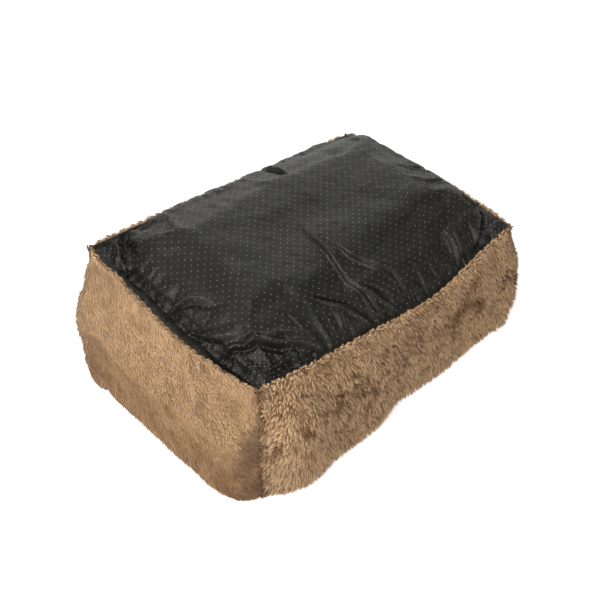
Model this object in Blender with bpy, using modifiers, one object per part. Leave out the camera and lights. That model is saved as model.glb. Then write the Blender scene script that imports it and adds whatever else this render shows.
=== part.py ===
"""Pet cushion bed: four plush bolster walls sewn round a filled base with a non-slip underside.

The bed stands upside down on the rims of its walls. The black non-slip panel is on top, domed by
the filling under it, and the well that the animal lies in opens downwards.

Metres, +Z up. The origin is on the ground under the middle of the bed. X runs along the two long
walls and Y along the two short ones; the front wall faces -Y and the left wall faces -X.
"""

import math

import bmesh
import bpy
from mathutils import Vector

# Overall sizes, taken along the seam that joins the base panel to the walls.
SEAM_LENGTH = 0.500
SEAM_WIDTH = 0.320
# Height of that seam above the ground at each corner. A soft bed never stands quite level.
CORNER_HEIGHT = {
    ("left", "front"): 0.188,
    ("right", "front"): 0.175,
    ("left", "back"): 0.232,
    ("right", "back"): 0.200,
}
# How far the seam hangs lower halfway along each wall than on a straight line between corners.
SEAM_SAG = {"front": 0.022, "right": -0.008, "back": -0.002, "left": 0.012}

# Walls. The belly is the most that a side swells past its seam, and the lean is how far the foot
# of the side stands out from it.
WALL_THICKNESS = 0.080
OUTER_BELLY = 0.020
OUTER_LEAN = 0.025
INNER_BELLY = 0.010
INNER_LEAN = -0.012
SEAM_TURN = math.radians(25)
CORNER_PINCH = 0.35
WELL_HEIGHT = 0.145

# Cloth, thread and filling.
PLUSH_THICKNESS = 0.006
PANEL_THICKNESS = 0.0008
SLEEPING_THICKNESS = 0.003
THREAD_RADIUS = 0.0004
CLEARANCE = 0.0003
FILL_CLEARANCE = 0.0012
PAD_CLEARANCE = 0.0025

# The dome that the base filling makes.
DOME_RISE = 0.048
DOME_CROWN = 0.005
DOME_RUN = 0.058
PAD_MARGIN = 0.015
SLEEPING_SAG = 0.006
SLEEPING_OVERLAP = 0.004

# How finely the soft forms are divided.
WALL_STATIONS = 12
SIDE_STEPS = 7
PANEL_CELLS = (24, 16)
SLEEPING_CELLS = (12, 8)

SEAM_GAP = 2 * (THREAD_RADIUS + CLEARANCE)

# Each wall in turn, anticlockwise from above: its name, its left and right end as seen from
# outside, and how many quarter turns it stands from the front wall.
WALLS = (
    ("front", ("left", "front"), ("right", "front"), 0),
    ("right", ("right", "front"), ("right", "back"), 1),
    ("back", ("right", "back"), ("left", "back"), 2),
    ("left", ("left", "back"), ("left", "front"), 3),
)


# ---------------------------------------------------------------- materials and objects

def make_material(name, color, roughness):
    material = bpy.data.materials.new(name)
    material.use_nodes = True
    shader = material.node_tree.nodes["Principled BSDF"]
    shader.inputs["Base Color"].default_value = (*color, 1.0)
    shader.inputs["Roughness"].default_value = roughness
    shader.inputs["Metallic"].default_value = 0.0
    return material


def add_object(name, data, collection, material):
    obj = bpy.data.objects.new(name, data)
    collection.objects.link(obj)
    data.materials.append(material)
    return obj


def mesh_from(bm, name, closed=True):
    """Turns a bmesh into a smooth-shaded mesh, a closed one with its faces pointing out."""
    if closed:
        bmesh.ops.recalc_face_normals(bm, faces=bm.faces)
    mesh = bpy.data.meshes.new(name)
    bm.to_mesh(mesh)
    bm.free()
    mesh.shade_smooth()
    mesh.set_sharp_from_angle(angle=math.radians(50))
    return mesh


def add_thread(name, points, closed, collection, material):
    """A sewing thread: a round tube through the points."""
    curve = bpy.data.curves.new(name, "CURVE")
    curve.dimensions = "3D"
    curve.bevel_depth = THREAD_RADIUS
    curve.bevel_resolution = 1
    curve.use_fill_caps = not closed
    spline = curve.splines.new("POLY")
    spline.points.add(len(points) - 1)
    for control, point in zip(spline.points, points):
        control.co = (*point, 1.0)
    spline.use_cyclic_u = closed
    return add_object(name, curve, collection, material)


# ---------------------------------------------------------------- the seam round the base

def wall_half_length(turns):
    return (SEAM_LENGTH if turns % 2 == 0 else SEAM_WIDTH) / 2


def placed(turns, along, outward, up):
    """A point beside a wall: along it, outward from its seam and up from the ground."""
    half_depth = wall_half_length(turns + 1)
    x, y = along, -(half_depth + outward)
    for _ in range(turns):
        x, y = -y, x
    return Vector((x, y, up))


def seam_height(wall, share):
    """Height of the base seam, with share running from -1 to 1 between the wall's two ends."""
    name, start, end, _ = wall
    straight = CORNER_HEIGHT[start] * (1 - share) / 2 + CORNER_HEIGHT[end] * (1 + share) / 2
    return straight - SEAM_SAG[name] * (1 - share**2)


def base_height(x, y):
    """Height of the surface stretched across the four seams, before the filling lifts it."""
    front, right, back, left = WALLS
    u = 2 * x / SEAM_LENGTH
    v = 2 * y / SEAM_WIDTH
    between_long = seam_height(front, u) * (1 - v) / 2 + seam_height(back, -u) * (1 + v) / 2
    between_short = seam_height(left, -v) * (1 - u) / 2 + seam_height(right, v) * (1 + u) / 2
    corners = sum(
        height * (1 + u * (1 if side == "right" else -1)) * (1 + v * (1 if end == "back" else -1)) / 4
        for (side, end), height in CORNER_HEIGHT.items()
    )
    return between_long + between_short - corners


def dome_height(x, y):
    """Underside of the base panel: the stretched surface, lifted by the filling."""
    lift = DOME_RISE
    crown = DOME_CROWN
    for place, span in ((x, SEAM_LENGTH), (y, SEAM_WIDTH)):
        inside = min(max(span / 2 - abs(place), 0.0), DOME_RUN)
        lift *= (1 - math.cos(math.pi * inside / DOME_RUN)) / 2
        crown *= 1 - (2 * place / span) ** 2
    return base_height(x, y) + SEAM_GAP + lift + crown


# ---------------------------------------------------------------- the walls

def side_outline(height, belly, lean):
    """One swelling side of a wall, from its seam down to its rim, as (outward, up) pairs."""
    reach = belly / (1 - math.sin(SEAM_TURN))
    points = []
    for step in range(SIDE_STEPS + 1):
        turn = SEAM_TURN + (math.pi - SEAM_TURN) * step / SIDE_STEPS
        fall = (math.cos(SEAM_TURN) - math.cos(turn)) / (math.cos(SEAM_TURN) + 1)
        outward = reach * (math.sin(turn) - math.sin(SEAM_TURN)) + lean * fall
        points.append(Vector((outward, height * (1 - fall))))
    return points


def wall_outline(wall, share):
    """A wall's outside, from the base seam over the rim to the well seam."""
    pinch = 1 - CORNER_PINCH * share**4
    outer = side_outline(seam_height(wall, share), OUTER_BELLY * pinch, OUTER_LEAN * pinch)
    inner = side_outline(WELL_HEIGHT, INNER_BELLY * pinch, INNER_LEAN)
    return outer + [Vector((-WALL_THICKNESS - point.x, point.y)) for point in reversed(inner)]


def inset_outline(points, depth):
    """The outline moved inwards by depth, square to its own run."""
    moved = []
    last = len(points) - 1
    for i, point in enumerate(points):
        before = (point - points[i - 1]).normalized() if i > 0 else None
        after = (points[i + 1] - point).normalized() if i < last else None
        before = before or after
        after = after or before
        run = (before + after).normalized()
        inward = Vector((run.y, -run.x))
        moved.append(point + inward * depth / run.dot(after))
    return moved


def on_wall(wall, share, point):
    """An (outward, up) point of a wall's outline in its place. The ends are mitred, a gap apart."""
    turns = wall[3]
    reach = wall_half_length(turns) - SEAM_GAP * math.sqrt(0.5)
    return placed(turns, share * (reach + point.x), point.x, point.y)


def loft(wall, rings):
    """A tube through closed rings of (outward, up) points, its two mitred ends closed by strips.

    The quads between rings are twisted, so each is cut in two the same way round. Rings that
    follow the same outline in the same order then stay parallel.
    """
    bm = bmesh.new()
    loops = [[bm.verts.new(on_wall(wall, share, point)) for point in ring] for share, ring in rings]
    count = len(loops[0])
    for near, far in zip(loops, loops[1:]):
        for i in range(count):
            j = (i + 1) % count
            bm.faces.new((near[i], near[j], far[j]))
            bm.faces.new((near[i], far[j], far[i]))
    for end in (loops[0], loops[-1]):
        for i in range(count // 2 - 1):
            bm.faces.new((end[i], end[i + 1], end[count - 2 - i], end[count - 1 - i]))
    return bm


def stations():
    """Places along a wall, from -1 at its left end to 1 at its right end."""
    return [2 * step / WALL_STATIONS - 1 for step in range(WALL_STATIONS + 1)]


def fill_outline(wall, share):
    """The filling's outside, just clear of the plush round it."""
    return inset_outline(wall_outline(wall, share), PLUSH_THICKNESS + FILL_CLEARANCE)


def add_wall(wall, collection, plush, filling):
    name = wall[0]
    cover_rings = []
    fill_rings = []
    for share in stations():
        outside = wall_outline(wall, share)
        inside = inset_outline(outside, PLUSH_THICKNESS)
        cover_rings.append((share, outside + inside[::-1]))
        fill_rings.append((share, fill_outline(wall, share)[::-1]))
    cover = mesh_from(loft(wall, cover_rings), f"{name}_wall_cover")
    add_object(f"{name}_wall_cover", cover, collection, plush)
    fill = mesh_from(loft(wall, fill_rings), f"{name}_wall_fill")
    add_object(f"{name}_wall_fill", fill, collection, filling)


def add_corner_thread(wall, collection, material):
    """The thread down the mitred seam at the wall's left end, halfway through the plush."""
    _, (side, end), _, turns = wall
    middle = inset_outline(wall_outline(wall, -1), PLUSH_THICKNESS / 2)
    reach = wall_half_length(turns)
    points = [placed(turns, -(reach + point.x), point.x, point.y) for point in middle[1:-1]]
    add_thread(f"{end}_{side}_corner_thread", points, False, collection, material)


# ---------------------------------------------------------------- the base

def sheet(cells, half_length, half_width, height):
    """A grid over the rectangle, each corner of a cell raised to height(x, y)."""
    bm = bmesh.new()
    bmesh.ops.create_grid(bm, x_segments=cells[0], y_segments=cells[1], size=1)
    for vert in bm.verts:
        x = vert.co.x * half_length
        y = vert.co.y * half_width
        vert.co = (x, y, height(x, y))
    return bm


def add_base_panel(collection, material):
    bm = sheet(PANEL_CELLS, SEAM_LENGTH / 2, SEAM_WIDTH / 2, dome_height)
    panel = add_object("base_panel", mesh_from(bm, "base_panel", closed=False), collection, material)
    solidify = panel.modifiers.new("cloth", "SOLIDIFY")
    solidify.thickness = PANEL_THICKNESS
    solidify.offset = 1.0


def nearest_wall(x, y):
    """The wall whose mitred sector holds the point: its seam's share there, and the distance in."""
    sectors = []
    for wall in WALLS:
        turns = wall[3]
        along, across = x, y
        for _ in range(turns):
            along, across = across, -along
        inside = wall_half_length(turns + 1) + across
        share = along / max(wall_half_length(turns) - inside, 1e-6)
        sectors.append((inside, wall, min(max(share, -1.0), 1.0)))
    inside, wall, share = min(sectors, key=lambda sector: sector[0])
    return wall, share, inside


def wall_top(x, y):
    """Height of the wall filling's sloping top, which the base pad lies on."""
    wall, share, inside = nearest_wall(x, y)
    outline = fill_outline(wall, share)
    outer, inner = outline[0], outline[-1]
    inward = min(max((inside + outer.x) / (outer.x - inner.x), 0.0), 1.0)
    return outer.y * (1 - inward) + inner.y * inward


def sleeping_height(x, y):
    """Underside of the sleeping panel, which hangs a little in the middle of the well."""
    u = x / (SEAM_LENGTH / 2 - WALL_THICKNESS)
    v = y / (SEAM_WIDTH / 2 - WALL_THICKNESS)
    hang = max(1 - u**2, 0.0) * max(1 - v**2, 0.0)
    return WELL_HEIGHT + SEAM_GAP - SLEEPING_SAG * hang


def add_base_fill(collection, material):
    """The pad between the base panel and the sleeping panel, thinnest towards its edges."""
    half_length = SEAM_LENGTH / 2
    half_width = SEAM_WIDTH / 2
    bm = sheet(PANEL_CELLS, half_length, half_width, dome_height)
    for vert in bm.verts:
        x = min(max(vert.co.x, PAD_MARGIN - half_length), half_length - PAD_MARGIN)
        y = min(max(vert.co.y, PAD_MARGIN - half_width), half_width - PAD_MARGIN)
        vert.co = (x, y, dome_height(x, y) - FILL_CLEARANCE)
    skin = bmesh.ops.extrude_face_region(bm, geom=bm.faces[:])
    lowered = [item for item in skin["geom"] if isinstance(item, bmesh.types.BMVert)]
    for vert in lowered:
        x, y = vert.co.x, vert.co.y
        above_panel = sleeping_height(x, y) + SLEEPING_THICKNESS
        vert.co.z = max(wall_top(x, y) + PAD_CLEARANCE, above_panel + FILL_CLEARANCE)
    add_object("base_fill", mesh_from(bm, "base_fill"), collection, material)


def add_sleeping_panel(collection, material):
    half_length = SEAM_LENGTH / 2 - WALL_THICKNESS + SLEEPING_OVERLAP
    half_width = SEAM_WIDTH / 2 - WALL_THICKNESS + SLEEPING_OVERLAP
    bm = sheet(SLEEPING_CELLS, half_length, half_width, sleeping_height)
    mesh = mesh_from(bm, "sleeping_panel", closed=False)
    panel = add_object("sleeping_panel", mesh, collection, material)
    solidify = panel.modifiers.new("plush", "SOLIDIFY")
    solidify.thickness = SLEEPING_THICKNESS
    solidify.offset = 1.0


def add_seam_thread(name, seam, height, collection, material):
    """The thread right round the bed, halfway between a sheet and the plush edges under it.

    The seam is 0 for the one at the start of the walls' outlines and -1 for the one at their end.
    """
    points = []
    for wall in WALLS:
        for share in stations():
            edge = inset_outline(wall_outline(wall, share), PLUSH_THICKNESS / 2)[seam]
            point = on_wall(wall, share, edge)
            point.z = (point.z + height(point.x, point.y)) / 2
            points.append(point)
    add_thread(name, points, True, collection, material)


# ---------------------------------------------------------------- the bed

def build():
    for obj in list(bpy.data.objects):
        bpy.data.objects.remove(obj, do_unlink=True)
    collection = bpy.data.collections.new("pet_cushion_bed")
    bpy.context.scene.collection.children.link(collection)

    plush = make_material("plush", (0.42, 0.27, 0.14), 0.95)
    oxford = make_material("nonslip_oxford", (0.02, 0.02, 0.018), 0.55)
    filling = make_material("fibre_filling", (0.85, 0.85, 0.82), 0.95)
    thread = make_material("thread", (0.20, 0.12, 0.06), 0.8)

    for wall in WALLS:
        add_wall(wall, collection, plush, filling)
        add_corner_thread(wall, collection, thread)
    add_base_panel(collection, oxford)
    add_base_fill(collection, filling)
    add_sleeping_panel(collection, plush)

    add_seam_thread("base_seam_thread", 0, dome_height, collection, thread)
    add_seam_thread("well_seam_thread", -1, sleeping_height, collection, thread)


build()
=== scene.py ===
"""Looks of the pet cushion bed: four plush bolster walls and their pile, and its black base cloth.

Metres, +Z up. The bed stands upside down on the rims of its walls, as in its frame. Each wall is a
filled tube of plush between two seams, the outer one at the base panel and the inner one at the
sleeping panel. A wall's surface is known by two numbers: its share, from -1 at the wall's left end
as seen from outside to 1 at its right end, and its place round the tube's outline.
"""

import math
from collections import namedtuple
from itertools import product

import bpy
import numpy as np
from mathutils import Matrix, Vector
from mathutils.bvhtree import BVHTree
from mathutils.kdtree import KDTree


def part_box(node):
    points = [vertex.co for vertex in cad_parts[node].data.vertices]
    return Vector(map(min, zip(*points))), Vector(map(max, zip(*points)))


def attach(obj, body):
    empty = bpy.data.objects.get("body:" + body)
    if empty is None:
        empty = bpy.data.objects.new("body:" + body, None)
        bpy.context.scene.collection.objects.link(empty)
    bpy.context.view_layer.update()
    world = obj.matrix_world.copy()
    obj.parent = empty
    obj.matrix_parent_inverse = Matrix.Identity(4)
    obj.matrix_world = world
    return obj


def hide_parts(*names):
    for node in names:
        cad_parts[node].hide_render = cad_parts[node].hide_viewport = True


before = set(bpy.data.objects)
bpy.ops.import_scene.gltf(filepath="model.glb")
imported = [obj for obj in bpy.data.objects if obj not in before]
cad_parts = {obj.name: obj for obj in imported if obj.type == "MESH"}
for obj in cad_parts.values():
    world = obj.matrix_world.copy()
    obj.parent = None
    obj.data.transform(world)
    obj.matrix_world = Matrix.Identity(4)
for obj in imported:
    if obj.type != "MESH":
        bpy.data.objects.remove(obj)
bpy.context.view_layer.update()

# ---------------------------------------------------------------- sizes

PANEL_LOW, PANEL_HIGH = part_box("base_panel")
WELL_LOW, WELL_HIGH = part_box("sleeping_panel")
PANEL_THICKNESS = 0.0008
SLEEPING_OVERLAP = 0.004
HALF = ((PANEL_HIGH[0] - PANEL_LOW[0]) / 2 - PANEL_THICKNESS / 2,
        (PANEL_HIGH[1] - PANEL_LOW[1]) / 2 - PANEL_THICKNESS / 2)
WALL_THICKNESS = HALF[0] - WELL_HIGH[0] + SLEEPING_OVERLAP
WELL_HEIGHT = 0.145

# The swelling of a wall's two sides, as in the frame.
SEAM_TURN = math.radians(25)
OUTER_BELLY, OUTER_LEAN = 0.020, 0.025
INNER_BELLY, INNER_LEAN = 0.010, -0.012
CORNER_PINCH = 0.35

# A wall's side rolls up past its outer seam before it falls, most of all on the front and the left.
ROLL_TURN = {"front": math.radians(-23), "left": math.radians(-23),
             "right": math.radians(-16), "back": math.radians(-16)}
# How far a wall's foot is drawn back under it, and how far the strip under the base panel sags.
TUCK = 0.011
TOP_SAG = 0.016
# The outer seam lies this far under the top of the frame's base panel.
SEAM_DROP = 0.0022
# The walls' corners in plan: 2 is round, and more is squarer.
CORNER_SQUARE = 2.3

# How much further a wall swells below its seam than in the frame: shares along it, then metres.
SWELL = {
    "front": ((-0.93, -0.80, -0.66, -0.50, -0.34, -0.18, 0.0, 0.15, 0.3, 0.5, 0.8, 0.93),
              (-0.003, 0.010, 0.013, 0.003, 0.005, 0.003,
               -0.012, -0.005, -0.004, -0.007, -0.004, 0.009)),
    "right": ((-0.9, 0.0, 0.9), (0.009, 0.004, 0.004)),
    "back": ((-0.9, 0.0, 0.7, 0.93), (0.004, 0.003, 0.008, 0.016)),
    "left": ((-0.92, -0.7, 0.0, 0.5, 0.8, 0.92), (0.016, 0.012, 0.019, 0.018, 0.010, -0.003)),
}

# The filling pushes each outer seam past the frame's: where most, over what share of the wall,
# how far out and how far down.
Bow = namedtuple("Bow", "share width reach drop")
BOWS = {"front": Bow(0.27, 0.40, 0.007, 0.008), "right": Bow(0.6, 0.5, 0.0, 0.005),
        "back": Bow(-0.5, 0.5, 0.0, 0.006), "left": Bow(0.30, 0.55, 0.005, 0.005)}
# The axis that each wall faces along, and which way.
OUTWARD = {"front": (1, -1), "right": (0, 1), "back": (1, 1), "left": (0, -1)}

# The cloth under the pile lies this far inside the frame's surface, less at the seams, and the
# pile fills the rest.
PILE_DEPTH = RIM_DEPTH = 0.0045
SEAM_DEPTH = 0.001

# Each wall: quarter turns from the front one, and how many steps its cloth has along it. Then the
# steps round it: the outer side, the rim, the inner side and the strip under the base panel.
WALLS = {"front": (0, 96), "right": (1, 64), "back": (2, 96), "left": (3, 64)}
OUTER_STEPS, RIM_STEPS, INNER_STEPS, TOP_STEPS = 40, 12, 24, 12
INNER_SEAM = OUTER_STEPS + RIM_STEPS + INNER_STEPS

CLOTH_FRAMES = 20

# A kind of pile: how far apart its fibres stand, their length, their width at the root, how far
# they stand up from the way they are brushed, how far apart their locks are, how many degrees the
# locks stray, how closely the fibres gather in them and how much the locks differ in tone.
Pile = namedtuple("Pile", "spacing length width lift lock wander gather uneven",
                  defaults=(0.006, 16, 0.65, 0.07))
WALL_PILES = {
    "front": Pile(0.00107, 0.0085, 0.0010, 0.85, 0.0038, 36, 0.95, 0.26),
    "left": Pile(0.00108, 0.0085, 0.0010, 0.40, 0.0034, 12, 0.80, 0.09),
    "right": Pile(0.00130, 0.0085, 0.0011, 0.60, 0.0036, 20, 0.80, 0.10),
    "back": Pile(0.00155, 0.0085, 0.0012, 0.60, 0.0036, 20, 0.80, 0.10),
}
WELL_PILE = Pile(0.0022, 0.011, 0.0018, 0.7)
RIM_PILE = Pile(0.0026, 0.010, 0.0018, 0.5)
SLEEPING_PILE = Pile(0.0021, 0.011, 0.0018, 0.8)
ROOT_COLOUR = np.array([0.17, 0.095, 0.046])
TIP_COLOUR = np.array([0.87, 0.585, 0.335])
# A fibre starts this far below the cloth, and its lowest point clears the ground by this much.
ROOT_SINK = 0.0015
GROUND_GAP = 0.0003

# The base cloth: its steps, its size before it is sewn in, and its printed dots.
PANEL_STEPS = (190, 126)
PANEL_SMOOTHING = 45
DOT_PITCH = 0.0123
DOT_RADIUS = 0.00056
DOT_HEIGHT = 0.00035
DOT_SIDES = 8
# The bare border of the printed cloth.
DOT_MARGIN = 0.003
# The filling near the back left corner reaches this far, and the cloth drops past it.
CORNER_FILL = (-0.184, 0.103)
CORNER_DROP = 0.008

# Under the base cloth, in steps of that cloth: how far in the pad starts, how far apart its own
# points are, and how far round each it looks for the lowest fold. Then its gap in metres.
PAD_START, PAD_STEP, PAD_REACH = 27, 7, 8
PAD_GAP = 0.006
PAD_THINNEST = 0.008
SLEEPING_STEPS = (70, 34)
STITCH_RADIUS = 0.0004

UP, DOWN = Vector((0, 0, 1)), Vector((0, 0, -1))


collection = bpy.data.collections.new("looks")
bpy.context.scene.collection.children.link(collection)
bpy.context.scene.view_settings.view_transform = "Standard"


# ---------------------------------------------------------------- small helpers

def soft_noise(points, cell, seed):
    """Smooth random values from -1 to 1 that change over about one cell."""
    table = np.random.default_rng(seed).uniform(-1, 1, (32, 32, 32))
    scaled = np.asarray(points, float) / cell
    low = np.floor(scaled).astype(int)
    part = scaled - low
    part = part * part * (3 - 2 * part)
    total = np.zeros(scaled.shape[:-1])
    for corner in product((0, 1), repeat=3):
        index = (low + corner) % 32
        weight = np.prod(np.where(corner, part, 1 - part), axis=-1)
        total += weight * table[index[..., 0], index[..., 1], index[..., 2]]
    return total


def unit(vectors):
    return vectors / np.maximum(np.linalg.norm(vectors, axis=-1, keepdims=True), 1e-12)


def smooth_step(value, low, high):
    t = np.clip((value - low) / (high - low), 0, 1)
    return t * t * (3 - 2 * t)


def grid_quads(rows, columns):
    """Four-sided faces of a grid of points that are numbered row by row."""
    index = np.arange(rows * columns).reshape(rows, columns)
    faces = np.stack([index[:-1, :-1], index[1:, :-1], index[1:, 1:], index[:-1, 1:]], -1)
    return faces.reshape(-1, 4)


def new_object(name, vertices, faces, material):
    mesh = bpy.data.meshes.new(name)
    mesh.from_pydata(np.asarray(vertices).reshape(-1, 3), [], faces)
    mesh.update()
    mesh.shade_smooth()
    obj = bpy.data.objects.new(name, mesh)
    collection.objects.link(obj)
    mesh.materials.append(material)
    return obj


def make_active(obj):
    bpy.ops.object.select_all(action="DESELECT")
    obj.select_set(True)
    bpy.context.view_layer.objects.active = obj


def apply_modifier(obj, modifier):
    make_active(obj)
    bpy.ops.object.modifier_apply(modifier=modifier.name)


def subdivided(obj):
    modifier = obj.modifiers.new("smooth", "SUBSURF")
    modifier.levels = modifier.render_levels = 1
    modifier.uv_smooth = "PRESERVE_BOUNDARIES"
    apply_modifier(obj, modifier)


def positions(obj, what="co"):
    """The places of a mesh's points, or another of their vectors."""
    found = np.empty(len(obj.data.vertices) * 3)
    obj.data.vertices.foreach_get(what, found)
    return found.reshape(-1, 3)


def face_corners(obj):
    """The number of the point at each corner of each face."""
    found = np.empty(len(obj.data.loops), int)
    obj.data.loops.foreach_get("vertex_index", found)
    return found


def move_to(obj, places):
    obj.data.vertices.foreach_set("co", np.asarray(places, float).ravel())
    obj.data.update()


def settle_cloth(obj, held, pressure, spare, limit, bending):
    """Swells a piece with its filling. The cloth is cut larger by its spare share, the held points
    stay, and no point ends further than limit from where it began."""
    start = positions(obj)
    group = obj.vertex_groups.new(name="held")
    group.add([int(i) for i in held], 1.0, "REPLACE")
    modifier = obj.modifiers.new("cloth", "CLOTH")
    cloth = modifier.settings
    cloth.quality = 6
    cloth.mass = 0.25
    cloth.tension_stiffness = cloth.compression_stiffness = 20
    cloth.shear_stiffness = 8
    cloth.bending_stiffness = bending
    cloth.shrink_min = -spare
    cloth.use_pressure = True
    cloth.uniform_pressure_force = pressure
    cloth.vertex_group_mass = "held"
    cloth.effector_weights.gravity = 0
    modifier.collision_settings.use_collision = False
    modifier.point_cache.frame_start = 1
    modifier.point_cache.frame_end = CLOTH_FRAMES
    for step in range(1, CLOTH_FRAMES + 1):
        bpy.context.scene.frame_set(step)
    apply_modifier(obj, modifier)
    bpy.context.scene.frame_set(1)
    moved = positions(obj) - start
    length = np.maximum(np.linalg.norm(moved, axis=1, keepdims=True), 1e-9)
    move_to(obj, start + moved / length * limit * np.tanh(length / limit))
    obj.vertex_groups.clear()


# ---------------------------------------------------------------- materials

def new_material(name):
    material = bpy.data.materials.new(name)
    material.use_nodes = True
    nodes = material.node_tree.nodes
    return material, nodes, material.node_tree.links, nodes["Principled BSDF"]


def bump(nodes, links, shader, height, distance, strength=1.0):
    node = nodes.new("ShaderNodeBump")
    node.inputs["Distance"].default_value = distance
    node.inputs["Strength"].default_value = strength
    links.new(height, node.inputs["Height"])
    links.new(node.outputs["Normal"], shader.inputs["Normal"])


def noise(nodes, links, source, scale, detail=3.0):
    node = nodes.new("ShaderNodeTexNoise")
    node.inputs["Scale"].default_value = scale
    node.inputs["Detail"].default_value = detail
    links.new(source, node.inputs["Vector"])
    return node.outputs["Fac"]


def ramp(nodes, links, source, stops):
    node = nodes.new("ShaderNodeValToRGB")
    elements = node.color_ramp.elements
    while len(elements) < len(stops):
        elements.new(0.5)
    for element, (place, colour) in zip(elements, stops):
        element.position = place
        element.color = (*colour, 1)
    links.new(source, node.inputs["Fac"])
    return node.outputs["Color"]


def pile_material():
    """Plush fibres: each takes its colour, dark at the root and pale at the tip, from its tint."""
    material, nodes, links, shader = new_material("plush_pile")
    tint = nodes.new("ShaderNodeAttribute")
    tint.attribute_name = "tint"
    where = nodes.new("ShaderNodeTexCoord").outputs["Object"]
    cloud = noise(nodes, links, where, 38.0)
    tone = ramp(nodes, links, cloud, ((0.3, (0.86, 0.84, 0.82)), (0.7, (1.0, 1.0, 1.0))))
    mix = nodes.new("ShaderNodeMix")
    mix.data_type = "RGBA"
    mix.blend_type = "MULTIPLY"
    mix.inputs["Factor"].default_value = 1.0
    links.new(tint.outputs["Color"], mix.inputs["A"])
    links.new(tone, mix.inputs["B"])
    links.new(mix.outputs["Result"], shader.inputs["Base Color"])
    shader.inputs["Roughness"].default_value = 0.85
    shader.inputs["Specular IOR Level"].default_value = 0.15
    shader.inputs["Sheen Weight"].default_value = 0.08
    shader.inputs["Sheen Roughness"].default_value = 0.5
    shader.inputs["Sheen Tint"].default_value = (1.0, 0.9, 0.78, 1.0)
    return material


def backing_material():
    """The knitted cloth that the pile grows from."""
    material, nodes, links, shader = new_material("plush_backing")
    where = nodes.new("ShaderNodeTexCoord").outputs["Object"]
    loops = nodes.new("ShaderNodeTexVoronoi")
    loops.inputs["Scale"].default_value = 700.0
    links.new(where, loops.inputs["Vector"])
    cloud = noise(nodes, links, where, 60.0)
    colour = ramp(nodes, links, cloud, ((0.3, (0.15, 0.083, 0.040)), (0.75, (0.24, 0.138, 0.070))))
    links.new(colour, shader.inputs["Base Color"])
    shader.inputs["Roughness"].default_value = 0.95
    shader.inputs["Sheen Weight"].default_value = 0.2
    bump(nodes, links, shader, loops.outputs["Distance"], 0.0008)
    return material


def oxford_material():
    """Black coated Oxford cloth: a fine plain weave with a satin sheen."""
    material, nodes, links, shader = new_material("black_oxford")
    cloth = nodes.new("ShaderNodeUVMap")
    cloth.uv_map = "weave"
    waves = []
    for direction in ("X", "Y"):
        wave = nodes.new("ShaderNodeTexWave")
        wave.bands_direction = direction
        wave.inputs["Scale"].default_value = 314.0
        wave.inputs["Distortion"].default_value = 0.6
        links.new(cloth.outputs["UV"], wave.inputs["Vector"])
        waves.append(wave.outputs["Fac"])
    weave = nodes.new("ShaderNodeMath")
    weave.operation = "ADD"
    links.new(waves[0], weave.inputs[0])
    links.new(waves[1], weave.inputs[1])
    cloud = noise(nodes, links, cloth.outputs["UV"], 9.0)
    colour = ramp(nodes, links, cloud,
                  ((0.35, (0.0040, 0.0040, 0.0032)), (0.7, (0.0064, 0.0062, 0.0045))))
    links.new(colour, shader.inputs["Base Color"])
    polish = nodes.new("ShaderNodeMapRange")
    polish.inputs["To Min"].default_value = 0.46
    polish.inputs["To Max"].default_value = 0.58
    links.new(noise(nodes, links, cloth.outputs["UV"], 30.0), polish.inputs["Value"])
    links.new(polish.outputs["Result"], shader.inputs["Roughness"])
    shader.inputs["Specular IOR Level"].default_value = 0.40
    shader.inputs["Specular Tint"].default_value = (1.0, 0.98, 0.90, 1.0)
    bump(nodes, links, shader, weave.outputs[0], 0.00012, 0.6)
    return material


def dot_material():
    """Pale rubbery grip dots."""
    material, nodes, links, shader = new_material("grip_dot_rubber")
    where = nodes.new("ShaderNodeTexCoord").outputs["Object"]
    colour = ramp(nodes, links, noise(nodes, links, where, 55.0),
                  ((0.3, (0.20, 0.19, 0.17)), (0.7, (0.42, 0.40, 0.37))))
    links.new(colour, shader.inputs["Base Color"])
    shader.inputs["Roughness"].default_value = 0.5
    return material


def thread_material():
    """Brown sewing thread."""
    material, nodes, links, shader = new_material("brown_thread")
    where = nodes.new("ShaderNodeTexCoord").outputs["Object"]
    fibre = noise(nodes, links, where, 2500.0)
    colour = ramp(nodes, links, fibre, ((0.3, (0.10, 0.055, 0.025)), (0.7, (0.24, 0.15, 0.08))))
    links.new(colour, shader.inputs["Base Color"])
    shader.inputs["Roughness"].default_value = 0.7
    bump(nodes, links, shader, fibre, 0.0002)
    return material


def fibre_material():
    """White polyester filling."""
    material, nodes, links, shader = new_material("white_fibre")
    where = nodes.new("ShaderNodeTexCoord").outputs["Object"]
    fibre = noise(nodes, links, where, 220.0, 6.0)
    colour = ramp(nodes, links, fibre, ((0.25, (0.55, 0.55, 0.53)), (0.7, (0.85, 0.85, 0.83))))
    links.new(colour, shader.inputs["Base Color"])
    shader.inputs["Roughness"].default_value = 0.95
    bump(nodes, links, shader, fibre, 0.002)
    return material


# ---------------------------------------------------------------- the frame's sheets, read by place

def tree_of(node):
    """The surface of one of the frame's pieces, to read heights from."""
    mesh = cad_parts[node].data
    return BVHTree.FromPolygons([v.co.copy() for v in mesh.vertices],
                                [tuple(p.vertices) for p in mesh.polygons])


panel_tree = tree_of("base_panel")


def panel_top(x, y):
    """Height of the frame's base panel at a place, read just inside its edges."""
    margin = 0.0006
    x = min(max(x, margin - HALF[0]), HALF[0] - margin)
    y = min(max(y, margin - HALF[1]), HALF[1] - margin)
    return panel_tree.ray_cast(Vector((x, y, 1.0)), DOWN)[0].z


# ---------------------------------------------------------------- wall cloth

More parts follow.
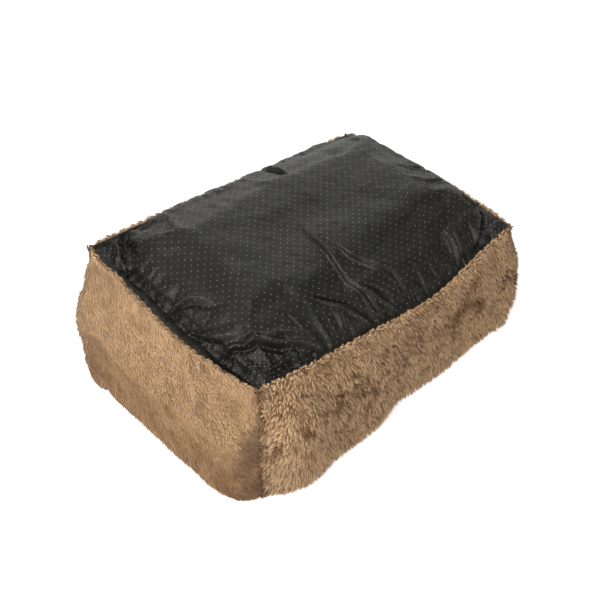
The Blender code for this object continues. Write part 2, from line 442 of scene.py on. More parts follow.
def resampled(points, count):
    """The same line through count + 1 evenly spaced points."""
    points = np.asarray(points, float)
    run = np.concatenate(([0], np.cumsum(np.linalg.norm(np.diff(points, axis=0), axis=1))))
    at = np.linspace(0, run[-1], count + 1)
    return np.stack([np.interp(at, run, points[:, k]) for k in range(2)], 1)


def side_outline(height, belly, lean, steps, first_turn):
    """One swelling side, from its seam down to its rim, as (outward, up) pairs."""
    reach = belly / (1 - math.sin(first_turn))
    turn = first_turn + (math.pi - first_turn) * np.linspace(0, 1, 80)
    fall = (math.cos(first_turn) - np.cos(turn)) / (math.cos(first_turn) + 1)
    outward = reach * (np.sin(turn) - math.sin(first_turn)) + lean * fall
    return resampled(np.stack([outward, height * (1 - fall)], 1), steps)


def inset(line, depth):
    """The line moved inwards, square to its own run. The depth may differ from point to point."""
    run = unit(np.gradient(line, axis=0))
    return line + np.stack([run[:, 1], -run[:, 0]], 1) * np.reshape(depth, (-1, 1))


def placed(turns, along, outward, up):
    """Places of points given along a wall, outward from its seam and up from the ground."""
    x, y = along, -(HALF[(turns + 1) % 2] + outward)
    for _ in range(turns):
        x, y = -y, x
    return np.stack(np.broadcast_arrays(x, y, up), -1)


def corner_groove(up, height):
    """How deep the seam between two walls is drawn in, by height: deepest where it gapes."""
    level = up / height
    return 0.013 + 0.012 * np.exp(-((level - 0.55) / 0.2) ** 2) - 0.007 * smooth_step(level, 0.8, 1)


def seam_bow(name, share):
    """The bow of a wall's outer seam, from 0 to about 1."""
    share = np.clip(share, -1, 1)
    return (1 - share**2) * np.exp(-((share - BOWS[name].share) / BOWS[name].width) ** 2)


def swell_at(name, share):
    """The extra swelling of a wall, eased between the places in its table."""
    return np.mean([np.interp(share + ease, *SWELL[name]) for ease in np.linspace(-0.07, 0.07, 7)])


def tube_outline(name, share):
    """A wall's outline at a share of its length, as (outward, up) pairs, and its height."""
    turns, _ = WALLS[name]
    seam = placed(turns, np.array(share * HALF[turns % 2]), 0.0, 0.0)
    bow = seam_bow(name, share)
    height = panel_top(seam[0], seam[1]) - SEAM_DROP - BOWS[name].drop * bow
    pinch = 1 - CORNER_PINCH * share**4
    outer = side_outline(height, OUTER_BELLY * pinch, OUTER_LEAN * pinch, OUTER_STEPS,
                         ROLL_TURN[name])
    fall = 1 - outer[:, 1] / height
    outer[:, 0] += (swell_at(name, share) * smooth_step(fall, 0, 0.45)
                    - TUCK * smooth_step(fall, 0.3, 1)
                    + BOWS[name].reach * bow * (1 - smooth_step(fall, 0, 0.5)))
    inner = side_outline(WELL_HEIGHT, INNER_BELLY * pinch, INNER_LEAN, INNER_STEPS, SEAM_TURN)
    inner[:, 0] = -WALL_THICKNESS - inner[:, 0]
    outer_run = smooth_step(np.linspace(0, 1, OUTER_STEPS + 1), 0, 0.12)
    inner_run = smooth_step(np.linspace(0, 1, INNER_STEPS + 1)[::-1], 0, 0.15)
    outer = inset(outer, SEAM_DEPTH + (PILE_DEPTH - SEAM_DEPTH) * outer_run)
    inner = inset(inner[::-1], SEAM_DEPTH + (RIM_DEPTH - SEAM_DEPTH) * inner_run)
    rim = np.linspace(outer[-1], inner[0], RIM_STEPS + 1)[1:-1]
    top = np.linspace(inner[-1], outer[0], TOP_STEPS + 1)
    top[:, 1] -= TOP_SAG * np.sin(np.linspace(0, math.pi, TOP_STEPS + 1))
    return np.concatenate([outer, rim, inner, top[1:-1]]), height


def wall_ring(name, share):
    """Positions round the wall's tube at a share of its length, starting at its outer seam."""
    turns, _ = WALLS[name]
    half = HALF[turns % 2]
    line, height = tube_outline(name, share)
    outward, up = line[:, 0], np.maximum(line[:, 1], RIM_DEPTH)

    # Outside the seam the corner is round in plan, drawn in at the seam between the two walls.
    swung = np.maximum(outward, 1e-6)
    reach = share * (half + np.where(outward > 0, outward * math.pi / 4, outward))
    beyond = np.clip((np.abs(reach) - half) / swung, 0, None) * (outward > 0)
    from_mitre = (1 - abs(share)) * (half + np.maximum(outward, 0) * math.pi / 4)
    uneven = 1 + 0.35 * soft_noise(np.stack([up, up * 0, up * 0 + turns], 1), 0.012, 13)
    drawn = uneven * corner_groove(up, height) * np.exp(-np.abs(from_mitre / 0.011) ** 1.3)
    stretch = ((np.cos(beyond) ** CORNER_SQUARE + np.sin(beyond) ** CORNER_SQUARE)
               ** (-1 / CORNER_SQUARE))
    radius = np.maximum(swung * stretch - drawn, np.minimum(outward, 0.002))
    along = np.where(beyond > 0, np.sign(share) * (half + radius * np.sin(beyond)), reach)
    outward = np.where(beyond > 0, radius * np.cos(beyond),
                       np.where(outward > 0, radius, outward))
    return placed(turns, along, outward, up)


def wall_dents(places):
    """Soft hollows and swells of a filled wall, as a move along its outward direction."""
    return 0.0022 * soft_noise(places, 0.055, 11) + 0.0012 * soft_noise(places, 0.024, 12)


def add_wall(name, backing):
    """A wall's cloth, swollen by its filling. Returns its grid of places."""
    _, steps = WALLS[name]
    shares = np.linspace(-1, 1, steps + 1)
    rings = np.array([wall_ring(name, share) for share in shares])
    count = rings.shape[1]
    index = np.arange((steps + 1) * count).reshape(steps + 1, count)
    after = np.roll(index, -1, axis=1)
    faces = np.stack([index[:-1], index[1:], after[1:], after[:-1]], -1).reshape(-1, 4).tolist()
    faces.append(index[0].tolist())
    faces.append(index[-1][::-1].tolist())
    obj = new_object(f"{name}_wall_bolster", rings, faces, backing)
    held = np.concatenate([index[0], index[-1], index[:, 0], index[:, INNER_SEAM:].ravel()])
    settle_cloth(obj, np.unique(held), pressure=2.5, spare=0.03, limit=0.010, bending=1.5)
    grid = positions(obj).reshape(steps + 1, count, 3)
    out = grid_frame(grid)[0]

    # The dents fade out towards the wall's ends and its seams.
    away = np.minimum(1, np.minimum(shares + 1, 1 - shares)[:, None] / 0.06)
    loose = np.ones(count)
    loose[INNER_SEAM:] = 0
    loose[:6] = np.linspace(0, 1, 6)
    grid = grid + out * (wall_dents(grid) * away * loose)[..., None]
    grid[..., 2] = np.maximum(grid[..., 2], RIM_DEPTH)
    move_to(obj, grid)
    subdivided(obj)
    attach(obj, "root")
    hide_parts(f"{name}_wall_cover", f"{name}_wall_fill")
    return grid


def grid_frame(grid):
    """Outward normal, direction along and direction round at each point of a wall's grid."""
    along = unit(np.gradient(grid, axis=0))
    round_it = unit(np.roll(grid, -1, axis=1) - np.roll(grid, 1, axis=1))
    return unit(np.cross(round_it, along)), along, round_it


# ---------------------------------------------------------------- pile

def between(grid, u, v):
    """Values of a grid at fractional places u down its rows and v across its columns."""
    i = np.clip(np.floor(u).astype(int), 0, grid.shape[0] - 2)
    j = np.clip(np.floor(v).astype(int), 0, grid.shape[1] - 2)
    a, b = (u - i)[:, None], (v - j)[:, None]
    return ((grid[i, j] * (1 - a) + grid[i + 1, j] * a) * (1 - b)
            + (grid[i, j + 1] * (1 - a) + grid[i + 1, j + 1] * a) * b)


def scattered(rows, columns, length, width, spacing, rng):
    """Places on a grid of rows by columns, on a jittered honeycomb of the given spacing."""
    across = max(int(length / spacing), 2)
    down = max(int(width / (spacing * 0.866)), 2)
    a, b = np.meshgrid(np.arange(across), np.arange(down), indexing="ij")
    a = a + 0.5 * (b % 2) + rng.uniform(-0.4, 0.4, a.shape)
    b = b + 0.5 + rng.uniform(-0.4, 0.4, b.shape)
    u = np.clip(a / across, 0, 1) * (rows - 1)
    v = np.clip(b / down, 0, 1) * (columns - 1)
    return u.ravel(), v.ravel()


def nearest_of(centres, points):
    """For each point, the number of the centre nearest to it."""
    tree = KDTree(len(centres))
    for number, place in enumerate(centres):
        tree.insert(place, number)
    tree.balance()
    return np.array([tree.find(place)[1] for place in points])


def add_pile(name, grid, directions, kind, comb, seed, material,
             span=(-1, 1), shade=None, trim=None, puff=None):
    """Plush fibres of one kind, standing on part of a grid with its outward, along and down
    directions. comb gives the way they are brushed, as an angle from downwards towards the wall's
    right end. They gather in small locks, so the cloth shows dark between them. shade, trim and
    puff change their tone, their length and how far out they start, by place."""
    rng = np.random.default_rng(seed)
    out, along, down = directions
    rows, columns = grid.shape[:2]
    reach = np.linalg.norm(np.diff(grid[:, columns // 2], axis=0), axis=1).sum()
    fall = np.linalg.norm(np.diff(grid[rows // 2], axis=0), axis=1).sum()

    def brushed(apart, stray):
        """Fibres this far apart: places, normals, directions, shares and levels."""
        u, v = scattered(rows, columns, reach, fall, apart, rng)
        root, normal = between(grid, u, v), unit(between(out, u, v))
        a_way, d_way = unit(between(along, u, v)), unit(between(down, u, v))
        share = span[0] + (span[1] - span[0]) * u / (rows - 1)
        level = v / (columns - 1)
        if puff is not None:
            root = root + normal * puff(level, root)[:, None]
        angle = comb(share, root) + np.radians(stray) * rng.normal(size=len(u))
        stand = kind.lift * rng.uniform(0.7, 1.3, len(u))
        way = unit(normal * stand[:, None] + d_way * np.cos(angle)[:, None]
                   + a_way * np.sin(angle)[:, None])
        return root, normal, way, share, level

    root, normal, way, share, level = brushed(kind.spacing, 10)
    lock_root, _, lock_way, _, _ = brushed(kind.lock, kind.wander)
    lock_tone = rng.normal(1, kind.uneven, len(lock_root))
    lock_long = kind.length * rng.uniform(0.8, 1.1, len(lock_root))
    lock_tip = lock_root + lock_way * lock_long[:, None]
    mine = nearest_of(lock_root, root)
    count = len(root)
    long = (kind.length * (1 + 0.15 * soft_noise(root, 0.012, seed + 5))
            * rng.uniform(0.8, 1.15, count))
    cut = np.ones(count) if trim is None else trim(share, level, root)
    thick = kind.width * rng.uniform(0.75, 1.25, count)
    start = root - normal * ROOT_SINK
    pull = (kind.gather * rng.uniform(0.6, 1.25, count))[:, None]
    tip = (start + way * long[:, None]) * (1 - pull) + lock_tip[mine] * pull
    tip = start + (tip - start) * cut[:, None]
    tip[:, 2] = np.maximum(tip[:, 2], rng.uniform(GROUND_GAP, 0.0012, count))
    way = unit(tip - start)
    side = unit(np.cross(way, rng.normal(size=root.shape)))
    other = np.cross(way, side)
    vertices = np.empty((count, 4, 3))
    for k in range(3):
        turn = 2 * math.pi * k / 3
        spread = side * math.cos(turn) + other * math.sin(turn)
        vertices[:, k] = start + spread * thick[:, None] / 2
    vertices[:, 3] = tip
    vertices[..., 2] = np.maximum(vertices[..., 2], GROUND_GAP)
    first = 4 * np.arange(count)[:, None, None]
    faces = first + np.array([[0, 1, 3], [1, 2, 3], [2, 0, 3], [0, 2, 1]])
    obj = new_object(name, vertices, faces.reshape(-1, 3).tolist(), material)

    tone = (1 + 0.10 * soft_noise(root, 0.045, 6)) * lock_tone[mine] * rng.uniform(0.8, 1.2, count)
    # The tone from shade holds painted shade as well as the pile's own tone.
    if shade is not None:
        tone = tone * shade(share, level, root)
    # Darker pile is also warmer.
    tint = np.clip(tone, 0.1, 1.15)[:, None] ** np.array([1.0, 1.25, 1.5])
    colours = np.ones((count, 4, 4))
    colours[:, :3, :3] = (ROOT_COLOUR * tint**1.6)[:, None]
    colours[:, 3, :3] = TIP_COLOUR * tint
    layer = obj.data.color_attributes.new("tint", "FLOAT_COLOR", "POINT")
    layer.data.foreach_set("color", colours.ravel())
    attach(obj, "root")
    return obj


# ---------------------------------------------------------------- the base panel

def even_steps(height, half, count):
    """Places from -half to half that are evenly spaced along the curve of a height."""
    fine = np.linspace(-half, half, 400)
    pieces = np.hypot(np.diff(fine), np.diff([height(x) for x in fine]))
    run = np.concatenate(([0], np.cumsum(pieces)))
    return np.interp(np.linspace(0, run[-1], count + 1), run, fine), run[-1]


# Folds in the base panel: the line down the steep side of each, then its half width and its depth.
# The panel stands up to the right of the line, looking along it, and falls to the left.
FOLDS = (
    (((-0.250, 0.011), (-0.225, -0.010), (-0.209, -0.040)), 0.0060, -0.0050),
    (((-0.248, -0.034), (-0.238, -0.069), (-0.222, -0.097)), 0.0060, -0.0040),
    (((-0.250, -0.090), (-0.230, -0.100), (-0.214, -0.112), (-0.195, -0.126), (-0.160, -0.143),
      (-0.139, -0.155)), 0.0060, -0.0065),
    (((-0.215, -0.096), (-0.192, -0.117), (-0.168, -0.128), (-0.152, -0.137)), 0.0035, -0.0030),
    (((-0.241, -0.121), (-0.215, -0.144), (-0.184, -0.147)), 0.0035, -0.0025),
    (((-0.150, -0.108), (-0.146, -0.126), (-0.149, -0.145)), 0.0028, 0.0026),
    (((-0.086, -0.134), (-0.091, -0.150)), 0.0028, 0.0024),
    (((-0.104, -0.106), (-0.071, -0.133), (-0.041, -0.158)), 0.0055, 0.0052),
    (((-0.033, -0.010), (-0.041, -0.075), (-0.045, -0.112), (-0.036, -0.135), (-0.032, -0.157)),
     0.0034, 0.0034),
    (((-0.024, -0.041), (-0.015, -0.087), (0.004, -0.114), (0.020, -0.132), (0.026, -0.154)),
     0.0040, 0.0036),
    (((-0.032, -0.126), (-0.006, -0.147), (0.004, -0.158)), 0.0050, 0.0045),
    (((0.246, -0.100), (0.212, -0.134), (0.186, -0.150), (0.165, -0.158)), 0.0060, 0.0060),
    (((0.148, -0.132), (0.143, -0.156)), 0.0030, 0.0030),
    (((0.140, -0.120), (0.131, -0.156)), 0.0034, 0.0030),
    (((0.186, -0.126), (0.176, -0.150)), 0.0030, 0.0026),
    (((-0.200, 0.158), (-0.216, 0.142), (-0.226, 0.120), (-0.246, 0.098)), 0.0120, 0.0095),
    (((0.036, 0.085), (0.040, 0.115), (0.044, 0.150)), 0.0070, 0.0060),
    (((0.170, 0.010), (0.200, -0.010), (0.240, -0.030)), 0.0060, 0.0025),
    (((0.172, -0.040), (0.205, -0.060), (0.242, -0.066)), 0.0060, 0.0025),
)


def fold_lift(x, y, line, half_width, depth):
    """The rise and fall of one fold: a ridge on one side of its line and a hollow on the other."""
    best = np.full(x.shape, 1e9)
    signed = np.zeros(x.shape)
    along = np.zeros(x.shape)
    points = np.array(line)
    lengths = np.linalg.norm(np.diff(points, axis=0), axis=1)
    gone = 0.0
    for start, end, length in zip(points, points[1:], lengths):
        way = (end - start) / length
        t = np.clip((x - start[0]) * way[0] + (y - start[1]) * way[1], 0, length)
        off_x, off_y = x - start[0] - way[0] * t, y - start[1] - way[1] * t
        far = np.hypot(off_x, off_y)
        nearer = far < best
        left = np.sign(way[0] * off_y - way[1] * off_x)
        best = np.where(nearer, far, best)
        signed = np.where(nearer, far * left, signed)
        along = np.where(nearer, (gone + t) / lengths.sum(), along)
        gone += length
    fade = np.sqrt(np.clip(np.sin(math.pi * np.clip(along, 0.02, 0.98) ** 0.8), 0, 1))
    width = half_width * (0.30 + 0.5 * along)
    rise = np.exp(-((signed + width * 0.8) / width) ** 2) * 0.6
    hollow = np.exp(-((signed - width * 0.8) / (1.3 * width)) ** 2)
    return 1.7 * depth * fade * (rise - hollow)


def panel_sides(x, y):
    """For each wall, how far in from its seam places on the panel are, and their share along it."""
    return {"front": (HALF[1] + y, x / HALF[0]), "right": (HALF[0] - x, y / HALF[1]),
            "back": (HALF[1] - y, -x / HALF[0]), "left": (HALF[0] + x, -y / HALF[1])}


def add_base_panel(oxford):
    """The base cloth, domed by the filling and laid out flat in its UV map, in metres. Returns it
    with its length and width across its middle."""
    xs, length = even_steps(lambda x: panel_top(x, 0.0), HALF[0], PANEL_STEPS[0])
    ys, width = even_steps(lambda y: panel_top(0.0, y), HALF[1], PANEL_STEPS[1])
    grid = np.array([[(x, y, panel_top(x, y)) for y in ys] for x in xs])
    level = grid[..., 2]
    for _ in range(PANEL_SMOOTHING):
        level[1:-1, 1:-1] = (level[:-2, 1:-1] + level[2:, 1:-1]
                             + level[1:-1, :-2] + level[1:-1, 2:]) / 4
    for name, (far, share) in panel_sides(grid[..., 0].copy(), grid[..., 1].copy()).items():
        bow = seam_bow(name, share) * (1 - smooth_step(far, 0, 0.055))
        grid[..., 2] -= BOWS[name].drop * bow
        axis, way = OUTWARD[name]
        grid[..., axis] += way * BOWS[name].reach * bow
    rows, columns = grid.shape[:2]
    obj = new_object("base_cloth", grid, grid_quads(rows, columns).tolist(), oxford)
    flat = np.stack(np.meshgrid(np.linspace(0, length, rows), np.linspace(0, width, columns),
                                indexing="ij"), -1).reshape(-1, 2)
    weave = obj.data.uv_layers.new(name="weave")
    weave.data.foreach_set("uv", flat[face_corners(obj)].ravel())
    index = np.arange(rows * columns).reshape(rows, columns)
    edge = np.concatenate([index[0], index[-1], index[:, 0], index[:, -1]])
    settle_cloth(obj, np.unique(edge), pressure=0.6, spare=0.022, limit=0.006, bending=0.4)
    subdivided(obj)
    return obj, length, width


def panel_folds(obj):
    """Adds the folds, then the small gathers along the seam and the drop at one corner."""
    places = positions(obj)
    normals = positions(obj, "normal")
    x, y = places[:, 0], places[:, 1]
    lift = np.zeros(len(places))
    for line, half_width, depth in FOLDS:
        lift += fold_lift(x, y, line, half_width, depth)
    # Small creases run in from the seam, and the cloth dips beside it.
    from_edge = np.full(len(x), 1.0)
    for name, (far, share) in panel_sides(x, y).items():
        turns = WALLS[name][0]
        far = far + BOWS[name].reach * seam_bow(name, share)
        along = share * HALF[turns % 2]
        for cell, depth, seed in ((0.006, 0.0014, 31), (0.014, 0.0024, 33)):
            crease = soft_noise(np.stack([along, far / 5, 0 * far + turns], 1), cell, seed)
            lift += depth * (1 - 2 * np.abs(crease)) * np.exp(-((far - 0.010) / 0.020) ** 2)
        to_end = HALF[turns % 2] - np.abs(along)
        lift -= 0.0020 * np.exp(-((far - 0.005) / 0.005) ** 2) * smooth_step(to_end, 0.012, 0.035)
        from_edge = np.minimum(from_edge, far)
    # At the back left corner the filling stops short, and the cloth drops in front of the seam.
    short = np.hypot(np.minimum(x - CORNER_FILL[0], 0), np.maximum(y - CORNER_FILL[1], 0))
    lift -= CORNER_DROP * smooth_step(short - 0.048, 0, 0.008)
    lift += 0.0010 * soft_noise(np.stack([x, y, 0 * x], 1), 0.030, 32)
    lift += 0.0005 * soft_noise(np.stack([x, y, 0 * x], 1), 0.008, 34)
    lift *= smooth_step(from_edge, 0, 0.006)
    move_to(obj, places + normals * lift[:, None])


def grip_dots(panel, length, width, rubber):
    """Small raised dots printed on the cloth in a diamond pattern, so they follow its folds.
    Returns them with the cloth's grid of places."""
    weave = panel.data.uv_layers["weave"]
    flat = np.empty(len(weave.data) * 2)
    weave.data.foreach_get("uv", flat)
    cloth = np.zeros((len(panel.data.vertices), 2))
    cloth[face_corners(panel)] = flat.reshape(-1, 2)
    # The points are put back in the order of the flat cloth, row by row.
    rows, columns = 2 * PANEL_STEPS[0] + 1, 2 * PANEL_STEPS[1] + 1
    order = np.lexsort((np.round(cloth[:, 1], 6), np.round(cloth[:, 0], 6)))
    places = positions(panel)[order].reshape(rows, columns, 3)
    normals = positions(panel, "normal")[order].reshape(rows, columns, 3)
    spots = []
    for start in (0.0, DOT_PITCH / 2):
        a = np.arange(length / 2 % DOT_PITCH + start - DOT_PITCH, length, DOT_PITCH)
        b = np.arange(width / 2 % DOT_PITCH + start - DOT_PITCH, width, DOT_PITCH)
        spots.append(np.stack(np.meshgrid(a, b, indexing="ij"), -1).reshape(-1, 2))
    spots = np.concatenate(spots)
    rng = np.random.default_rng(5)
    spots = spots + rng.normal(0, 0.00012, spots.shape)
    spots = spots[(spots > DOT_MARGIN).all(1) & (spots[:, 0] < length - DOT_MARGIN)
                  & (spots[:, 1] < width - DOT_MARGIN)]
    u = spots[:, 0] / length * (rows - 1)
    v = spots[:, 1] / width * (columns - 1)
    centre, up = between(places, u, v), unit(between(normals, u, v))
    east = unit(np.cross(up, [0.0, 1.0, 0.0]))
    north = np.cross(up, east)
    radius = DOT_RADIUS * rng.uniform(0.88, 1.12, len(spots))[:, None]
    rings = []
    for spread, rise in ((1.0, -0.0002), (0.85, 0.6 * DOT_HEIGHT), (0.45, DOT_HEIGHT)):
        for k in range(DOT_SIDES):
            turn = 2 * math.pi * k / DOT_SIDES
            rings.append(centre + (east * math.cos(turn) + north * math.sin(turn))
                         * radius * spread + up * rise)
    vertices = np.stack(rings, 1)
    around = [(k, (k + 1) % DOT_SIDES) for k in range(DOT_SIDES)]
    sides = [(j + low, i + low, i + low + DOT_SIDES, j + low + DOT_SIDES)
             for low in (0, DOT_SIDES) for i, j in around]
    caps = [tuple(range(len(rings) - 1, 2 * DOT_SIDES - 1, -1)), tuple(range(DOT_SIDES))]
    faces = []
    for n in range(len(spots)):
        faces += [tuple(len(rings) * n + k for k in face) for face in sides + caps]
    obj = new_object("grip_dots", vertices, faces, rubber)
    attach(obj, "root")
    return obj, places


# ---------------------------------------------------------------- building the bed

pile = pile_material()
backing = backing_material()
oxford = oxford_material()
rubber = dot_material()
thread = thread_material()
fibre = fibre_material()

grids = {name: add_wall(name, backing) for name in WALLS}

base_cloth, flat_length, flat_width = add_base_panel(oxford)
panel_folds(base_cloth)
dots, cloth_grid = grip_dots(base_cloth, flat_length, flat_width, rubber)
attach(base_cloth, "root")
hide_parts("base_panel")


# ---------------------------------------------------------------- how the pile lies

def comb_left(share, place):
    """The left wall's pile is brushed towards the front, and less so near its ends."""
    turn = 80 + 20 * soft_noise(place, 0.06, 41) - 45 * smooth_step(-share, 0.55, 0.98)
    turn = turn - 40 * smooth_step(share, 0.75, 0.99)
    turn = turn + 45 * smooth_step(share, 0.60, 0.9) * soft_noise(place, 0.012, 49)
    return np.radians(turn)


def comb_front(share, place):
    """The front wall's pile hangs down in disorder, and leans left towards its left end."""
    turn = -6 + 50 * soft_noise(place, 0.018, 42) - 42 * smooth_step(-share, 0.5, 0.9)
    return np.radians(turn)


def comb_down(share, place):
    return np.radians(30 * soft_noise(place, 0.05, 43))


def shade_front(share, level, place):
    """The front wall's pile is ruffled, and shows its dark roots in patches about half way down."""
    patch = smooth_step(soft_noise(place, 0.022, 44) + 0.9 * soft_noise(place, 0.006, 45),
                        -0.25, 0.6)
    band = 0.30 + 0.70 * np.exp(-((level - 0.45) / 0.20) ** 2)
    # seam_shadow multiplies in painted shade in the seam between two walls.
    return (1.16 - 0.74 * patch * band) * seam_shadow(share)


def shade_side(share, level, place):
    """The other walls' pile is smoother; painted shade darkens it towards the rim, where the wall
    turns under.
    """
    patch = smooth_step(soft_noise(place, 0.022, 46) + 0.5 * soft_noise(place, 0.006, 45),
                        0.0, 0.9)
    # Painted shade: darker towards the rim, where the wall turns under, and in the seams between
    # walls.
    return (1.05 - 0.20 * patch - 0.30 * smooth_step(level, 0.15, 0.90)) * seam_shadow(share)


def trim_edges(share, level, place):
    """The pile is shorter at the seams, most of all beside the seam between two walls."""
    to_corner = np.minimum(np.hypot(place[:, 0] - HALF[0] * np.sign(place[:, 0]),
                                    place[:, 1] - HALF[1] * np.sign(place[:, 1])), 1)
    beside = np.exp(-((1 - np.abs(share)) / 0.045) ** 2) * smooth_step(0.06 - to_corner, 0, 0.02)
    return (0.45 + 0.55 * smooth_step(level, 0, 0.08)) * (1 - 0.60 * beside)


def seam_shadow(share):
    """Painted shade: the pile is darkened in the seam between two walls, where the crease lies in
    shadow.
    """
    return 1 - 0.72 * np.exp(-((1 - np.abs(share)) / 0.050) ** 1.5)


def seam_puffs(level, place):
    """Small puffs of pile along the outer seam, where the stitches gather the plush."""
    run = place[:, 0] + place[:, 1] + 0.006 * soft_noise(place, 0.02, 47)
    puffs = 0.0024 * np.cos(2 * math.pi * run / 0.0135) * np.exp(-level / 0.07)
    return puffs + 0.0008 * soft_noise(place, 0.009, 48)


SIDE = slice(0, OUTER_STEPS + 1)
RIM = slice(OUTER_STEPS, OUTER_STEPS + RIM_STEPS + 1)
INNER = slice(OUTER_STEPS + RIM_STEPS, INNER_SEAM + 1)


def part_of(name, columns, rows=slice(None)):
    """Part of a wall's grid, and its outward, along and down directions there."""
    grid = grids[name]
    return grid[rows, columns], tuple(x[rows, columns] for x in grid_frame(grid))


# Each wall's outside pile: in how many pieces, how it is brushed and shaded, and its first seed.
for name, pieces, comb, shade, seed in (("front", 3, comb_front, shade_front, 101),
                                        ("left", 2, comb_left, shade_side, 111),
                                        ("right", 2, comb_down, shade_side, 121),
                                        ("back", 2, comb_down, shade_side, 131)):
    steps = WALLS[name][1] // pieces
    for k in range(pieces):
        part, directions = part_of(name, SIDE, slice(k * steps, (k + 1) * steps + 1))
        add_pile(f"{name}_wall_pile_{k + 1}", part, directions, WALL_PILES[name], comb, seed + k,
                 pile, span=(2 * k / pieces - 1, 2 * (k + 1) / pieces - 1), shade=shade,
                 trim=trim_edges, puff=seam_puffs)
for k, name in enumerate(WALLS):
    add_pile(f"{name}_well_pile", *part_of(name, INNER), WELL_PILE, comb_down, 151 + k, pile)
    add_pile(f"{name}_rim_pile", *part_of(name, RIM), RIM_PILE, comb_down, 161 + k, pile)

# ---------------------------------------------------------------- inside the bed

def add_base_pad(cloth, material):
    """The pad of fibre filling: its top lies close under the base cloth, folds and all."""
    under = tree_of("base_fill")
    lowest = cloth[..., 2].copy()
    for axis in (0, 1):
        lowest = np.min([np.roll(lowest, k, axis) for k in range(-PAD_REACH, PAD_REACH + 1)],
                        axis=0)
    kept = slice(PAD_START, -PAD_START, PAD_STEP)
    top = np.dstack([cloth[..., :2], lowest])[kept, kept]
    rows, columns = top.shape[:2]
    bottom = top.copy()
    for i, j in product(range(rows), range(columns)):
        hit = under.ray_cast(Vector((top[i, j, 0], top[i, j, 1], 0.0)), UP)[0]
        bottom[i, j, 2] = (hit.z if hit else top[i, j, 2] - 0.02) + 0.001
    bottom[..., 2] = np.minimum(bottom[..., 2], top[..., 2] - PAD_THINNEST)
    top[..., 2] -= PAD_GAP
    below = rows * columns
    index = np.arange(below).reshape(rows, columns)
    upper_faces = grid_quads(rows, columns)
    faces = upper_faces.tolist() + (upper_faces[:, ::-1] + below).tolist()
    rim = np.concatenate([index[:-1, 0], index[-1, :-1], index[:0:-1, -1], index[0, :0:-1]])
    for a, b in zip(rim, np.roll(rim, -1)):
        faces.append([int(a + below), int(b + below), int(b), int(a)])
    obj = new_object("base_pad", np.concatenate([top.reshape(-1, 3), bottom.reshape(-1, 3)]),
                     faces, material)
    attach(obj, "root")
    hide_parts("base_fill")


def add_sleeping_cloth(material):
    """The plush sheet over the floor of the well, a little wrinkled, with its pile downwards."""
    under = tree_of("sleeping_panel")
    rows, columns = SLEEPING_STEPS
    margin = 0.0005
    xs = np.linspace(WELL_LOW[0] + margin, WELL_HIGH[0] - margin, rows)
    ys = np.linspace(WELL_LOW[1] + margin, WELL_HIGH[1] - margin, columns)
    grid = np.array([[(x, y, under.ray_cast(Vector((x, y, 0.0)), UP)[0].z)
                      for y in ys] for x in xs])
    edge = np.minimum(WELL_HIGH[0] - np.abs(grid[..., 0]), WELL_HIGH[1] - np.abs(grid[..., 1]))
    grid[..., 2] += 0.0022 * soft_noise(grid, 0.04, 51) * smooth_step(edge, 0, 0.02) + 0.0005
    # Its faces look downwards.
    faces = grid_quads(rows, columns)[:, [0, 3, 2, 1]]
    obj = new_object("sleeping_cloth", grid, faces.tolist(), material)
    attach(obj, "root")
    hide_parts("sleeping_panel")
    along = unit(np.gradient(grid, axis=0))
    across = unit(np.gradient(grid, axis=1))
    tufts = add_pile("sleeping_pile", grid, (unit(np.cross(across, along)), along, across),
                     SLEEPING_PILE, comb_down, 171, pile)


def add_stitches(name, points, material, closed=False):
    """One row of stitches: a thread through the given points. It replaces the frame's thread."""
    curve = bpy.data.curves.new(name, "CURVE")
    curve.dimensions = "3D"
    curve.bevel_depth = STITCH_RADIUS
    curve.bevel_resolution = 1
    curve.use_fill_caps = True
    spline = curve.splines.new("POLY")
    spline.points.add(len(points) - 1)
    spline.points.foreach_set("co", np.column_stack([points, np.ones(len(points))]).ravel())
    spline.use_cyclic_u = closed
    obj = bpy.data.objects.new(name, curve)
    collection.objects.link(obj)
    curve.materials.append(material)
    make_active(obj)
    bpy.ops.object.convert(target="MESH")
    obj = bpy.context.object
    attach(obj, "root")
    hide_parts(name.replace("stitches", "thread"))


add_base_pad(cloth_grid, fibre)
add_sleeping_cloth(backing)
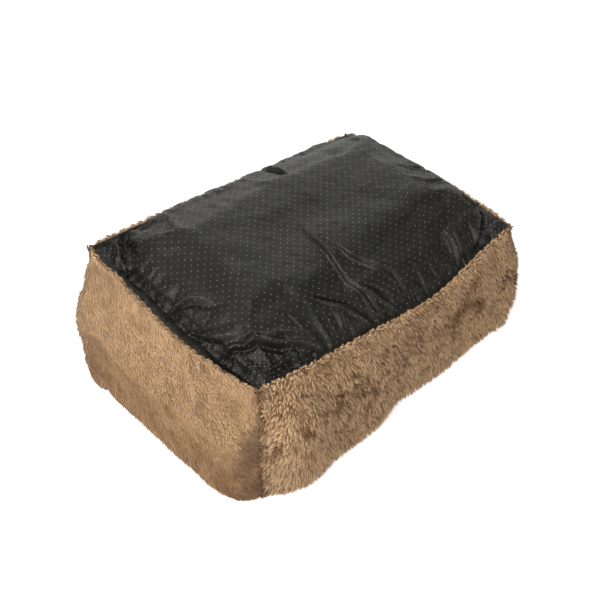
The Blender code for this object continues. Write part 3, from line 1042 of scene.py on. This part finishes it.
# Each corner seam runs down the outside, under the rim and up the inside, at a wall's left end.
# Its stitches go from side to side, and those of the base seam up and down.
sewn = slice(2, INNER_SEAM - 1)
for wall, corner in (("front", "front_left"), ("right", "front_right"), ("back", "back_right"),
                     ("left", "back_left")):
    line, (out, along, _) = part_of(wall, sewn, 0)
    turn = np.where(np.arange(sewn.start, sewn.stop) % 2, 1.0, -1.0)[:, None]
    add_stitches(f"{corner}_corner_stitches", line + out * 0.0006 + along * turn * 0.0012, thread)
seam = np.concatenate([grids[name][:-1, 0] for name in WALLS])
seam[:, 2] += np.where(np.arange(len(seam)) % 2, 0.0026, 0.0006)
add_stitches("base_seam_stitches", seam, thread, closed=True)
well_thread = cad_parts["well_seam_thread"].data
well_thread.materials.clear()
well_thread.materials.append(thread)

# ---------------------------------------------------------------- floor, light and camera

bpy.ops.object.select_all(action="DESELECT")
bpy.ops.mesh.primitive_plane_add(size=12, location=(0, 0, 0))
floor = bpy.context.object
floor.name = "studio_floor"
floor_material, floor_nodes, _, floor_shader = new_material("pale_floor")
floor_shader.inputs["Base Color"].default_value = (0.92, 0.92, 0.92, 1)
floor_shader.inputs["Roughness"].default_value = 0.9
floor_shader.inputs["Emission Color"].default_value = (1, 1, 1, 1)
floor_shader.inputs["Emission Strength"].default_value = 0.42
floor.data.materials.append(floor_material)

world = bpy.data.worlds.new("studio")
world.use_nodes = True
world.node_tree.nodes["Background"].inputs["Color"].default_value = (1, 1, 1, 1)
world.node_tree.nodes["Background"].inputs["Strength"].default_value = 0.20
bpy.context.scene.world = world


def add_softbox(name, location, target, size, power):
    """A round light of the given size, turned towards its target."""
    light = bpy.data.lights.new(name, "AREA")
    light.shape = "DISK"
    light.size = size
    light.energy = power
    obj = bpy.data.objects.new(name, light)
    collection.objects.link(obj)
    obj.location = location
    obj.rotation_euler = (Vector(target) - Vector(location)).to_track_quat("-Z", "Y").to_euler()


add_softbox("back_softbox", (1.5, 1.5, 1.5), (0, 0, 0.2), 3.2, 37)
add_softbox("front_softbox", (-1.5, -0.8, 1.75), (0, 0, 0.1), 1.4, 66)

AZIMUTH, ELEVATION, DISTANCE = math.radians(-45.3), math.radians(38.7), 1.448
LOOK_AT = Vector((0, 0, 0.1))
camera = bpy.data.objects.new("camera", bpy.data.cameras.new("camera"))
collection.objects.link(camera)
camera.data.lens = 60
camera.data.sensor_width = 36
camera.data.shift_x = -0.0175
camera.data.shift_y = -0.0067
backwards = Vector((math.sin(AZIMUTH) * math.cos(ELEVATION),
                    -math.cos(AZIMUTH) * math.cos(ELEVATION), math.sin(ELEVATION)))
camera.location = LOOK_AT + backwards * DISTANCE
camera.rotation_euler = (-backwards).to_track_quat("-Z", "Y").to_euler()
bpy.context.scene.camera = camera
